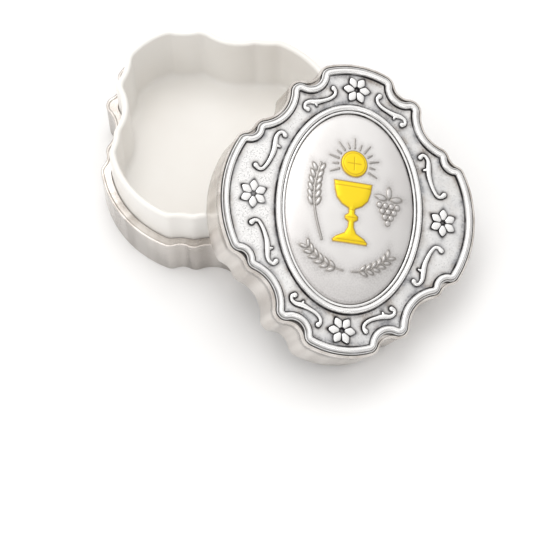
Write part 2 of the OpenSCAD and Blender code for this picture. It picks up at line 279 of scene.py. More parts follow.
def makePearlLacquer():
    p = pearlLook
    material, tree, shader = newFinish("pearlLacquer", p["sockets"])
    cloud, flake = (objectNoise(tree, *p[k]) for k in ("cloud", "flake"))
    foot = attributeOf(tree, "foot", "Vector")
    # painted reflection: lighter and darker streaks, the same all the way up each wall, over the pearl's own tone
    paintedReflectionStreaks = makeNode(tree, "ShaderNodeTexNoise", {"Vector": foot, "Scale": p["reflectionStreakScale"],
                                                    "Detail": p["reflectionStreakDetail"]}).outputs["Fac"]
    pearlWithPaintedStreaks = mixColours(tree, remap(tree, paintedReflectionStreaks, *p["reflectionStreakSpan"]), *p["pearlAndReflectionColours"])
    flaked = mixColours(tree, remap(tree, flake, *p["flakeSpan"]), pearlWithPaintedStreaks, p["flakeColour"])
    tree.links.new(flaked, shader.inputs["Base Color"])
    tree.links.new(remap(tree, cloud, *p["roughness"]), shader.inputs["Roughness"])
    addBump(tree, shader, flake, *p["bump"])
    return material


cupLook = {
    "sockets": {"Roughness": 0.3},
    "cloud": (45, 3),
    "cloudSpan": (0.3, 0.7),
    "colours": ((0.87, 0.845, 0.805), (0.91, 0.895, 0.865)),
    "ripple": (900, 2),
    "bump": (0.05, 0.00005),
}


def makeCupWhite():
    c = cupLook
    material, tree, shader = newFinish("cupWhite", c["sockets"])
    cloud = remap(tree, objectNoise(tree, *c["cloud"]), *c["cloudSpan"])
    tree.links.new(mixColours(tree, cloud, *c["colours"]), shader.inputs["Base Color"])
    addBump(tree, shader, objectNoise(tree, *c["ripple"]), *c["bump"])
    return material


castLook = {
    "sockets": {"Metallic": 0.85},
    "grain": (2400, 3, 0.65),
    "cloud": (320, 3, 0.6),
    "worn": (190, 3, 0.7),
    "pitSpan": (0.5, 0.34),
    "silver": (0.98, 0.975, 0.968),
    "pitted": (0.68, 0.675, 0.67),
    "patchSpan": (0.75, 1.2, 0.2, 1.15),
    "filmSpan": (0.42, 0.6),
    "filmAndShadeColours": ((0.31, 0.313, 0.328), (0.38, 0.345, 0.315)),
    "recessSpan": (0.36, 0.6, 0.65, 1.4),
    "recessColour": (0.03, 0.027, 0.03),
    "roughness": (0, 1.2, 0.25, 0.6),
    "bump": (0.35, 0.00006),
}


def makeCastSilver():
    c = castLook
    material, tree, shader = newFinish("castSilver", c["sockets"])
    recess, haze, stipple = (attributeOf(tree, k) for k in ("recess", "haze", "stipple"))
    grain, cloud, worn = (objectNoise(tree, *c[k]) for k in ("grain", "cloud", "worn"))
    pits = times(tree, stipple, remap(tree, grain, *c["pitSpan"]), True)
    silver = mixColours(tree, pits, c["silver"], c["pitted"])
    patchy = remap(tree, mathNode(tree, "ADD", grain, cloud), *c["patchSpan"])
    filmAndShade = mixColours(tree, remap(tree, worn, *c["filmSpan"]), *c["filmAndShadeColours"])
    # the film colour where the mask asks: film round the ornament and rims, and painted shade across the field
    hazed = mixColours(tree, times(tree, haze, patchy, True), silver, filmAndShade)
    depth = times(tree, recess, remap(tree, worn, *c["recessSpan"]), True)
    tree.links.new(mixColours(tree, depth, hazed, c["recessColour"]), shader.inputs["Base Color"])
    dull = mathNode(tree, "ADD", recess, haze)
    tree.links.new(remap(tree, dull, *c["roughness"]), shader.inputs["Roughness"])
    addBump(tree, shader, times(tree, grain, stipple), *c["bump"])
    return material


plaqueLook = {
    "grain": (2600, 2),
    "cloud": (70, 2),
    "cloudSpan": (0.35, 0.65),
    "satinColours": ((0.78, 0.76, 0.75), (0.86, 0.845, 0.835)),
    "dustAndShadeSpan": (0.35, 0.65, 0.4, 1.0),
    "dustAndShadeColour": (0.44, 0.42, 0.41),
    "lineColour": (0.31, 0.29, 0.27),
    "giltColours": ((0.98, 0.72, 0.015), (0.42, 0.20, 0.01)),      # on the relief, in its lines
    "metallic": (0, 1, 0.8, 0.5),
    "roughness": (0.3, 0.7, 0.3, 0.4),
    "bump": (0.2, 0.00004),
}


def makePlaqueSilver():
    p = plaqueLook
    material, tree, shader = newFinish("plaqueSilver")
    recess, gilt, haze = (attributeOf(tree, k) for k in ("recess", "gilt", "haze"))
    grain, cloud = (objectNoise(tree, *p[k]) for k in ("grain", "cloud"))
    satin = mixColours(tree, remap(tree, cloud, *p["cloudSpan"]), *p["satinColours"])
    # dust round the ornament and at the rim, and painted shade towards the lower end, both speckled by the grain
    dustAndShade = times(tree, haze, remap(tree, grain, *p["dustAndShadeSpan"]), True)
    dustyAndShaded = mixColours(tree, dustAndShade, satin, p["dustAndShadeColour"])
    lined = mixColours(tree, recess, dustyAndShaded, p["lineColour"])
    giltTone = mixColours(tree, recess, *p["giltColours"])
    tree.links.new(mixColours(tree, gilt, lined, giltTone), shader.inputs["Base Color"])
    tree.links.new(remap(tree, gilt, *p["metallic"]), shader.inputs["Metallic"])
    tree.links.new(remap(tree, grain, *p["roughness"]), shader.inputs["Roughness"])
    addBump(tree, shader, grain, *p["bump"])
    return material


finishes = {
    "pearlLacquer": makePearlLacquer(),
    "cupWhite": makeCupWhite(),
    "castSilver": makeCastSilver(),
    "plaqueSilver": makePlaqueSilver(),
}

coreLook = {
    "sockets": {"Roughness": 0.6},
    "grain": (400,),
    "colours": ((0.20, 0.195, 0.19), (0.26, 0.25, 0.245)),
}


def dressHiddenCore():
    c = coreLook
    material, tree, shader = newFinish("hiddenCore", c["sockets"])
    grain = objectNoise(tree, *c["grain"])
    tree.links.new(mixColours(tree, grain, *c["colours"]), shader.inputs["Base Color"])
    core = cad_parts["plaque_core"].data
    core.materials.clear()
    core.materials.append(material)


dressHiddenCore()
print("finishes made")


# base: silver tray, its rows as [outline, offset from the wall line, height]

tray = {
    "rows": [("walls", -0.9, 0.0), ("walls", -0.35, 0.0), ("walls", -0.12, 0.06), ("walls", 0.0, 0.3),
             ("walls", 0.0, 11.15), ("walls", 0.05, 11.3), ("walls", 0.03, 11.47), ("walls", -0.12, 11.58),
             ("walls", -0.35, 11.6), ("walls", -0.58, 11.56), ("walls", -0.72, 11.42), ("walls", -0.78, 11.3),
             ("cup", -2.35, 11.3), ("cup", -2.45, 11.2), ("cup", -2.45, 1.4)],
    "density": 2,
    "round": {"walls": 1.2, "cup": 3.4},      # least radius of each outline's corners
}


def wallRings(rows, density, rounds):
    return [lift(outlineRing(outline["wallOffset"] + off, shape, rounds[shape], density), z)
            for shape, off, z in rows]


trayRings = wallRings(tray["rows"], tray["density"], tray["round"])
addPiece(footPlaces(ringMesh("tray", trayRings), trayRings), "base",
         finishes["pearlLacquer"], ["base_tray"])

# base: white cup with its rounded lip

cup = {
    "outer": -2.6,      # offsets from the wall line
    "inner": -4.3,
    "under": 1.4,       # heights
    "floor": 3.0,
    "lip": 21.2,
    "outerMiddle": 11.0,
    "innerMiddle": 12.0,
    "footChamfer": (0.4, 0.3),
    "outerRound": 0.85,
    "innerRound": 0.8,
    "fillet": 1.6,
    "roundPoints": 8,
    "density": 2,
    "round": {"cup": 3.4},
}


def quarterTurn():      # cosine and sine, from level to upright
    return [(math.cos(math.radians(a)), math.sin(math.radians(a))) for a in np.linspace(0, 90, cup["roundPoints"])]


def cupRows():
    c = cup
    inset, rise = c["footChamfer"]
    rows = [(c["outer"] - inset, c["under"]), (c["outer"], c["under"] + rise), (c["outer"], c["outerMiddle"])]
    rows += [(c["outer"] - c["outerRound"] * (1 - k), c["lip"] - c["outerRound"] * (1 - s)) for k, s in quarterTurn()]
    rows += [(c["inner"] + c["innerRound"] * (1 - k), c["lip"] - c["innerRound"] * (1 - s))
             for k, s in reversed(quarterTurn())]
    rows.append((c["inner"], c["innerMiddle"]))
    rows += [(c["inner"] - c["fillet"] * (1 - k), c["floor"] + c["fillet"] * (1 - s)) for k, s in quarterTurn()]
    return [("cup", off, z) for off, z in rows]


addPiece(ringMesh("cup", wallRings(cupRows(), cup["density"], cup["round"])), "base",
         finishes["cupWhite"], ["base_cup"])
print("base made")

# lid: skirt, deck and the thin rim round the casting, upright on z = 0 and then leaned

shell = {
    # [offset from the wall line, height]
    "profile": [(-2.6, 11.4), (-0.36, 11.4), (-0.35, 12.2), (-0.26, 12.36), (-0.05, 12.4), (0.16, 12.36),
                (0.25, 12.2), (0.25, 11.5), (0.2, 11.2), (0.0, 10.85), (-0.02, 8.0), (-0.05, 4.0), (-0.05, 0.5),
                (-0.12, 0.2), (-0.35, 0.02), (-0.9, 0.02), (-1.2, 0.2), (-1.3, 0.5), (-1.3, 9.2), (-1.45, 9.7),
                (-1.9, 10.0)],
    "density": 2,
    "round": {"walls": 0.8},
}
skirtRows = [("walls", off, z) for off, z in shell["profile"]]
skirtRings = wallRings(skirtRows, shell["density"], shell["round"])
addPiece(footPlaces(ringMesh("skirt", skirtRings, place=leanMatrix), skirtRings), "lid",
         finishes["pearlLacquer"], ["lid_shell"])
print("lid shell made")


# the casting's ornament, which also darkens the field round it

scrolls = {
    # [x, y, half width] along each scroll and leaf spur of one quadrant
    "paths": {
        "endScroll": [(6.0, 29.7, 0.62), (5.45, 29.0, 0.44), (5.65, 28.0, 0.4), (6.75, 26.95, 0.42),
                      (8.4, 26.15, 0.46), (10.2, 25.5, 0.62), (11.8, 25.3, 0.5), (12.85, 24.6, 0.42),
                      (12.95, 23.65, 0.42), (12.2, 23.3, 0.6)],
        "endSpur": [(10.35, 25.4, 0.46), (10.15, 24.95, 0.38), (9.95, 24.5, 0.2)],
        "sideScroll": [(24.2, 7.1, 0.62), (23.4, 6.45, 0.44), (22.4, 6.6, 0.4), (21.4, 7.9, 0.42),
                       (20.55, 9.7, 0.5), (19.95, 11.6, 0.6), (19.75, 13.5, 0.62), (19.6, 15.0, 0.5),
                       (18.95, 16.1, 0.42), (18.05, 16.4, 0.42), (17.45, 15.75, 0.6)],
        "sideSpur": [(19.7, 12.95, 0.46), (19.1, 12.8, 0.38), (18.5, 12.6, 0.2)],
    },
    "pathPoints": 6,
    "capAngles": (25, 48, 66, 80, 88),
    "crest": 0.3,         # height of a ridge, plus its swell where the scroll is wide
    "swell": 0.45,
    "steepest": 1.8,      # most height for a half width
    "fullness": 0.55,
    "sides": 24,
    "footSpan": (0.25, 0.1),
    "sunk": 0.02,
}
flowers = {
    # [place, turn in degrees]
    "spots": [((0, 30.3), 0), ((0, -30.3), 0), ((24.25, 0), 90), ((-24.25, 0), 90)],
    "petals": 6,
    "reach": 3.35,
    "petalMiddle": 0.575,      # shares of the reach
    "petalHalf": 0.425,
    "widestAt": 0.13,
    "width": 1.04,
    "taper": 0.4,
    "leastTaper": 0.2,
    "height": 0.5,
    "fullness": 0.4,
    "sides": (40, 24),
    "creaseSpan": (0.36, 0.50),      # dark lines where petals meet, round their feet and in the middle
    "footSpan": (0.3, 0.12),
    "middleSpan": (0.95, 0.62),
    "sunk": 0.05,
}


def smoothPath(points):
    p = np.array(points)
    p = np.vstack([2 * p[0] - p[1], p, 2 * p[-1] - p[-2]])
    rows = []
    for i in range(1, len(p) - 2):
        for t in np.arange(scrolls["pathPoints"]) / scrolls["pathPoints"]:
            a = 2 * p[i]
            b = p[i + 1] - p[i - 1]
            c = 2 * p[i - 1] - 5 * p[i] + 4 * p[i + 1] - p[i + 2]
            d = -p[i - 1] + 3 * p[i] - 3 * p[i + 1] + p[i + 2]
            rows.append(0.5 * (a + b * t + c * t * t + d * t * t * t))
    rows.append(p[-2])
    return np.array(rows)


scrollPaths = [smoothPath(path) for path in scrolls["paths"].values()]


# distances outside a shape, in millimetres, and below 0 inside it

def strokeDistance(points, path):
    best = np.full(len(points), farOff)
    for a, b in zip(path[:-1], path[1:]):
        along = b[:2] - a[:2]
        t = np.clip((points - a[:2]) @ along / max(along @ along, tiny), 0, 1)
        d = np.linalg.norm(points - a[:2] - t[:, None] * along, axis=1) - (a[2] + (b[2] - a[2]) * t)
        best = np.minimum(best, d)
    return best


def flowerDistance(points, centre, turn):
    f = flowers
    q = points - np.array(centre)
    best = np.full(len(points), farOff)
    shrink = 0.85      # brings the stretched distance back to about millimetres
    for i in range(f["petals"]):
        a = math.radians(turn + 360 / f["petals"] * i)
        u = q[:, 0] * math.cos(a) + q[:, 1] * math.sin(a)
        v = -q[:, 0] * math.sin(a) + q[:, 1] * math.cos(a)
        x = (u - f["petalMiddle"] * f["reach"]) / (f["petalHalf"] * f["reach"])
        taper = np.maximum(1 - f["taper"] * np.abs(x - f["widestAt"]), f["leastTaper"])
        best = np.minimum(best, (np.sqrt(x * x + (v / (f["width"] * taper)) ** 2) - 1) * shrink)
    return best


def polygonDistance(points, corners):
    best = np.full(len(points), farOff)
    inside = np.zeros(len(points), bool)
    for a, b in zip(corners, np.roll(corners, -1, axis=0)):
        along = b - a
        t = np.clip((points - a) @ along / max(along @ along, tiny), 0, 1)
        best = np.minimum(best, np.linalg.norm(points - a - t[:, None] * along, axis=1))
        crosses = (a[1] > points[:, 1]) != (b[1] > points[:, 1])
        with np.errstate(divide="ignore", invalid="ignore"):
            x = a[0] + (points[:, 1] - a[1]) * along[0] / along[1]
        inside ^= crosses & (points[:, 0] < x)
    return np.where(inside, -best, best)


def ellipseDistance(points, centre, turn, halfLength, halfWidth):
    q = points - np.array(centre)
    c, s = math.cos(turn), math.sin(turn)
    u = (q[:, 0] * c + q[:, 1] * s) / halfLength
    v = (-q[:, 0] * s + q[:, 1] * c) / halfWidth
    return (np.sqrt(u * u + v * v) - 1) * min(halfLength, halfWidth)


def circleDistance(points, centre, radius):
    return np.linalg.norm(points - np.array(centre), axis=1) - radius


def fading(distance, reach):      # 1 on the shape, down to nothing a little past its reach
    return np.exp(-(np.maximum(distance, 0) / reach) ** 2)


# cast frame: field, oval double bead and outer bead, one closed band

casting = {
    "deck": 11.4,
    "deckGap": 0.02,
    "field": 12.3,
    "oval": (18.65, 26.2),
    "density": 3,
    "fieldRows": 40,
    "evenOver": 9,      # neighbours that share out the oval's points
    # [offset from the oval's edge, height over the field, darkness in the recess]
    "ovalProfile": [(-2.2, 0.20, 0.9), (-2.18, 0.55, 0.5), (-2.08, 0.66, 0.05), (-1.92, 0.70, 0), (-1.74, 0.66, 0),
                    (-1.62, 0.56, 0.15), (-1.54, 0.40, 0.9), (-1.47, 0.38, 1.0), (-1.40, 0.55, 0.4),
                    (-1.30, 0.80, 0.05), (-1.12, 0.98, 0), (-0.9, 1.08, 0), (-0.68, 1.10, 0), (-0.46, 1.03, 0),
                    (-0.26, 0.86, 0), (-0.10, 0.58, 0.1), (0.0, 0.25, 0.7), (0.08, -0.04, 1.0),
                    (0.20, -0.06, 1.0), (0.34, 0.0, 0.5)],
    # [offset from the field's outline, height over the field, darkness]
    "beadProfile": [(-0.28, 0.0, 0.5), (-0.16, -0.05, 1.0), (-0.05, -0.04, 1.0), (0.03, 0.2, 0.7),
                    (0.12, 0.52, 0.12), (0.27, 0.78, 0), (0.48, 0.95, 0), (0.73, 1.0, 0), (0.98, 0.95, 0),
                    (1.19, 0.8, 0.03), (1.33, 0.58, 0.1), (1.42, 0.3, 0.5), (1.47, 0.2, 0.9), (1.52, 0.24, 0.45),
                    (1.59, 0.28, 0.05), (1.70, 0.27, 0), (1.80, 0.22, 0.2), (1.85, 0.08, 0.6), (1.85, -0.3, 0.9)],
    "outerSide": 1.0,      # offset past which the outer bead falls away
    "haze": {"oval": 0.05, "groove": 0.8, "bead": 0.03, "outerSide": 0.45},
    "stipple": {"oval": 0.0, "groove": 1.0, "bead": 0.0, "outerSide": 0.6},
    "sink": (0.07, 0.28),      # depth and reach of the groove round the ornament
    "darkReach": 0.36,
    "hazeReach": 0.8,
    "ornamentHaze": 0.6,
    "rimHaze": 0.85,
    # grey film on the field, darker towards the ends; painted shade thickens it away from the -X lobe, which stays
    # thinner and lighter
    "filmAndSideShade": {"mostSideShade": 0.33, "middle": -10, "width": 4, "ends": 0.12, "endReach": 30, "less": 0.04},
}


# painted shade across the field, lightest at the -X lobe, plus grey film darker towards the ends
def filmAndSideShade(points):
    p = casting["filmAndSideShade"]
    across = p["mostSideShade"] / (1 + np.exp(-(points[:, 0] - p["middle"]) / p["width"]))
    return across + p["ends"] * (np.abs(points[:, 1]) / p["endReach"]) ** 2 - p["less"]


def ovalRing(offset, angles):
    halfX, halfY = casting["oval"]
    return np.stack([(halfX + offset) * np.sin(angles), (halfY + offset) * np.cos(angles)], 1)


def ovalAngles():      # one angle for each point of the outline, evened out round the oval
    c = casting
    edge = outlineRing(0, density=c["density"])
    angles = np.unwrap(np.arctan2(edge[:, 0] / c["oval"][0], edge[:, 1] / c["oval"][1]))
    sign = 1 if angles[-1] > angles[0] else -1
    leastStep = 1e-4
    steps = np.maximum(np.diff(np.append(angles, angles[0] + sign * 2 * math.pi)) * sign, leastStep)
    kernel = np.ones(c["evenOver"]) / c["evenOver"]
    spare = c["evenOver"] // 2
    steps = np.convolve(np.concatenate([steps[-spare:], steps, steps[:spare]]), kernel, "valid")
    steps *= 2 * math.pi / steps.sum()
    return angles[0] + sign * np.concatenate([[0], np.cumsum(steps)[:-1]])


def makeCastingPlate():
    c = casting
    angles = ovalAngles()
    rings = []
    marks = {"recess": [], "haze": [], "stipple": []}

    def addRing(points, z, **values):
        rings.append(lift(points, z))
        for label, value in values.items():
            marks[label].append(np.broadcast_to(value, len(points)))

    for off, z, dark in c["ovalProfile"]:
        zone = "oval" if off < 0 else "groove"
        addRing(ovalRing(off, angles), c["field"] + z, recess=dark, haze=c["haze"][zone], stipple=c["stipple"][zone])
    inner = rings[-1][:, :2]
    outer = outlineRing(c["beadProfile"][0][0], density=c["density"])
    depth, sinkReach = c["sink"]
    for t in np.linspace(0, 1, c["fieldRows"] + 2)[1:-1]:
        p = inner + (outer - inner) * t
        scroll = np.min([strokeDistance(np.abs(p), path) for path in scrollPaths], axis=0)
        flower = np.min([flowerDistance(p, spot, turn) for spot, turn in flowers["spots"]], axis=0)
        gap = np.minimum(scroll, flower)
        rim = np.minimum(np.linalg.norm(p - inner, axis=1), np.linalg.norm(p - outer, axis=1))
        # painted shade across the field and grey film towards the ends, with darker film round the ornament and the
        # rims
        haze = (filmAndSideShade(p) + c["ornamentHaze"] * fading(gap, c["hazeReach"])
                + c["rimHaze"] * fading(rim, c["hazeReach"]))
        addRing(p, c["field"] - depth * fading(gap, sinkReach), recess=fading(gap, c["darkReach"]),
                haze=np.clip(haze, 0, 1), stipple=1.0)
    for off, z, dark in c["beadProfile"]:
        zone = "groove" if off < 0 else "outerSide" if off > c["outerSide"] else "bead"
        addRing(outlineRing(off, density=c["density"]), c["field"] + z, recess=dark,
                haze=c["haze"][zone], stipple=c["stipple"][zone])
    beadEnd, ovalEnd = c["beadProfile"][-1][0], c["ovalProfile"][0][0]
    for points in (outlineRing(beadEnd, density=c["density"]), ovalRing(ovalEnd, angles)):
        addRing(points, c["deck"] + c["deckGap"], recess=1.0, haze=1.0, stipple=0.0)
    mesh = ringMesh("castingPlate", rings, True, leanMatrix)
    for label, values in marks.items():
        pointValues(mesh, label, np.concatenate(values))
    return mesh


plate = makeCastingPlate()
addPiece(plate, "lid", finishes["castSilver"], ["lid_frame"], sharpAngle=60)
print("casting plate made:", len(plate.vertices), "points")


# Geometry Nodes helpers

def newTree(name, labels):
    tree = bpy.data.node_groups.new(name, "GeometryNodeTree")
    tree.interface.new_socket("Geometry", in_out="INPUT", socket_type="NodeSocketGeometry")
    for label, kind in labels.items():
        tree.interface.new_socket(label, in_out="INPUT", socket_type="NodeSocket" + kind)
    tree.interface.new_socket("Geometry", in_out="OUTPUT", socket_type="NodeSocketGeometry")
    return tree, tree.nodes.new("NodeGroupInput").outputs, tree.nodes.new("NodeGroupOutput").inputs


def closeTree(tree, given, result, geometry):      # every tree ends so
    whole = makeNode(tree, "GeometryNodeRealizeInstances", {"Geometry": geometry}).outputs[0]
    painted = makeNode(tree, "GeometryNodeSetMaterial", {"Geometry": whole, "Material": given["Finish"]})
    tree.links.new(painted.outputs[0], result[0])
    return tree


def positionParts(tree):
    where = makeNode(tree, "GeometryNodeInputPosition").outputs[0]
    return makeNode(tree, "ShaderNodeSeparateXYZ", {0: where}).outputs


def vectorOf(tree, x=0.0, y=0.0, z=0.0):
    return makeNode(tree, "ShaderNodeCombineXYZ", {0: x, 1: y, 2: z}).outputs[0]


def storedValue(tree, name):
    return makeNode(tree, "GeometryNodeInputNamedAttribute", {"Name": name}).outputs[0]


def markRecess(tree, geometry, value):
    return makeNode(tree, "GeometryNodeStoreNamedAttribute",
                    {"Geometry": geometry, "Name": "recess", "Value": value}).outputs[0]


def copiesOnCircle(tree, count, instance, label, value):
    atCentre = 0.0001
    ring = makeNode(tree, "GeometryNodeMeshCircle", {"Vertices": count, "Radius": atCentre}).outputs[0]
    return makeNode(tree, "GeometryNodeInstanceOnPoints",
                    {"Points": ring, "Instance": instance, label: value}).outputs[0]


def settle(base, tree, values):      # the tree's result as a plain mesh
    name = base.name
    holder = bpy.data.objects.new(name + "Source", base)
    bpy.context.scene.collection.objects.link(holder)
    modifier = holder.modifiers.new("build", "NODES")
    modifier.node_group = tree
    for item in tree.interface.items_tree:
        if item.item_type == "SOCKET" and item.in_out == "INPUT" and item.name in values:
            modifier[item.identifier] = values[item.name]
    bpy.context.view_layer.update()
    mesh = bpy.data.meshes.new_from_object(holder.evaluated_get(bpy.context.evaluated_depsgraph_get()))
    holder.modifiers.remove(modifier)
    bpy.data.objects.remove(holder)
    bpy.data.meshes.remove(base)
    mesh.name = name
    return mesh


def pointMesh(name, points, edges=()):
    mesh = bpy.data.meshes.new(name)
    mesh.from_pydata([tuple(p) for p in points], list(edges), [])
    return mesh


# four six-petalled flowers

def makeFlowerTree():
    f = flowers
    tree, given, result = newTree("flowers", {"Reach": "Float", "Width": "Float", "Taper": "Float",
                                              "Height": "Float", "Fullness": "Float", "Finish": "Material"})
    segments, rings = f["sides"]
    ball = makeNode(tree, "GeometryNodeMeshUVSphere", {"Segments": segments, "Rings": rings, "Radius": 1.0})
    x, y, z = positionParts(tree)
    slant = mathNode(tree, "ABSOLUTE", mathNode(tree, "SUBTRACT", x, f["widestAt"]))
    taper = mathNode(tree, "SUBTRACT", 1.0, times(tree, slant, given["Taper"]))
    outward = mathNode(tree, "ADD", times(tree, x, f["petalHalf"]), f["petalMiddle"])
    along = times(tree, outward, given["Reach"])
    across = times(tree, times(tree, y, taper), given["Width"])
    flatTop = mathNode(tree, "POWER", mathNode(tree, "MAXIMUM", z, 0.0), given["Fullness"])
    shaped = vectorOf(tree, along, across, times(tree, flatTop, given["Height"]))
    petal = makeNode(tree, "GeometryNodeSetPosition", {"Geometry": ball.outputs["Mesh"], "Position": shaped})
    x, y, z = positionParts(tree)
    angle = mathNode(tree, "ARCTAN2", mathNode(tree, "ABSOLUTE", y), x)
    dark = mathNode(tree, "MAXIMUM", remap(tree, angle, *f["creaseSpan"]), remap(tree, z, *f["footSpan"]))
    dark = mathNode(tree, "MAXIMUM", dark, remap(tree, x, *f["middleSpan"]))
    marked = markRecess(tree, petal.outputs[0], dark)
    index = makeNode(tree, "GeometryNodeInputIndex").outputs[0]
    turn = vectorOf(tree, z=times(tree, index, math.radians(360 / f["petals"])))
    rose = copiesOnCircle(tree, f["petals"], marked, "Rotation", turn)
    facing = vectorOf(tree, z=storedValue(tree, "facing"))
    placed = makeNode(tree, "GeometryNodeInstanceOnPoints",
                      {"Points": given["Geometry"], "Instance": rose, "Rotation": facing}).outputs[0]
    return closeTree(tree, given, result, placed)


def makeFlowers():
    f = flowers
    points = pointMesh("flowers", [(*spot, casting["field"] - f["sunk"]) for spot, _ in f["spots"]])
    pointValues(points, "facing", [math.radians(turn) for _, turn in f["spots"]])
    mesh = settle(points, makeFlowerTree(), {"Reach": f["reach"], "Width": f["width"], "Taper": f["taper"],
                                             "Height": f["height"], "Fullness": f["fullness"],
                                             "Finish": finishes["castSilver"]})
    mesh.transform(Matrix.Scale(mm, 4) @ leanMatrix)
    return mesh


flowerMesh = makeFlowers()
addPiece(flowerMesh, "lid", finishes["castSilver"], sharpAngle=80)
print("flowers made:", len(flowerMesh.vertices), "points")


# eight scrolls with their leaf spurs

def roundEnds(path):
    def cap(tip, inner):
        away = tip[:2] - inner[:2]
        away /= np.linalg.norm(away)
        angles = [math.radians(a) for a in scrolls["capAngles"]]
        return [np.append(tip[:2] + away * tip[2] * math.sin(a), tip[2] * math.cos(a)) for a in angles]
    return np.array(cap(path[0], path[1])[::-1] + list(path) + cap(path[-1], path[-2]))


def mirroring(tree, bit):      # -1 where a copy is flipped, 1 where it isn't
    return mathNode(tree, "SUBTRACT", 1.0, times(tree, bit, 2.0))


def makeScrollTree():
    s = scrolls
    tree, given, result = newTree("scrolls", {"Crest": "Float", "Swell": "Float", "Fullness": "Float",
                                              "Sides": "Int", "Finish": "Material"})
    wire = makeNode(tree, "GeometryNodeMeshToCurve", {"Mesh": given["Geometry"]}).outputs[0]
    upright = makeNode(tree, "GeometryNodeSetCurveNormal", {"Curve": wire}, mode="Z_UP").outputs[0]
    circle = makeNode(tree, "GeometryNodeCurvePrimitiveCircle", {"Resolution": given["Sides"], "Radius": 1.0})
    half = storedValue(tree, "half")
    tube = makeNode(tree, "GeometryNodeCurveToMesh", {"Curve": upright, "Profile Curve": circle.outputs[0],
                                                      "Scale": half, "Fill Caps": True}).outputs[0]
    # the round tube is reshaped to a full ridge
    z = positionParts(tree)[2]
    crest = mathNode(tree, "ADD", given["Crest"], times(tree, half, given["Swell"]))
    lowered = mathNode(tree, "MINIMUM", crest, times(tree, half, s["steepest"]))
    leastHalf = 0.02
    share = mathNode(tree, "DIVIDE", mathNode(tree, "MAXIMUM", z, 0.0), mathNode(tree, "MAXIMUM", half, leastHalf))
    height = times(tree, mathNode(tree, "POWER", share, given["Fullness"]), lowered)
    offset = vectorOf(tree, z=mathNode(tree, "SUBTRACT", height, z))
    raised = makeNode(tree, "GeometryNodeSetPosition", {"Geometry": tube, "Offset": offset}).outputs[0]
    marked = markRecess(tree, raised, remap(tree, positionParts(tree)[2], *s["footSpan"]))
    # one copy in each quadrant
    index = makeNode(tree, "GeometryNodeInputIndex").outputs[0]
    flipX = mirroring(tree, mathNode(tree, "MODULO", index, 2.0))
    flipY = mirroring(tree, mathNode(tree, "GREATER_THAN", index, 1.5))
    four = copiesOnCircle(tree, 4, marked, "Scale", vectorOf(tree, flipX, flipY, 1.0))
    return closeTree(tree, given, result, four)


def makeScrolls():
    s = scrolls
    points, edges = [], []
    for path in scrollPaths:
        rounded = roundEnds(path)
        edges += [(len(points) + i, len(points) + i + 1) for i in range(len(rounded) - 1)]
        points += list(rounded)
    points = np.array(points)
    wires = pointMesh("scrolls", lift(points[:, :2], 0.0), edges)
    pointValues(wires, "half", points[:, 2])
    mesh = settle(wires, makeScrollTree(), {"Crest": s["crest"], "Swell": s["swell"], "Fullness": s["fullness"],
                                            "Sides": s["sides"], "Finish": finishes["castSilver"]})
    seat = Matrix.Translation((0, 0, casting["field"] - s["sunk"]))
    mesh.transform(Matrix.Scale(mm, 4) @ leanMatrix @ seat)
    return mesh


scrollMesh = makeScrolls()
addPiece(scrollMesh, "lid", finishes["castSilver"], sharpAngle=80)
print("scrolls made:", len(scrollMesh.vertices), "points")


# domed plaque with its pressed relief

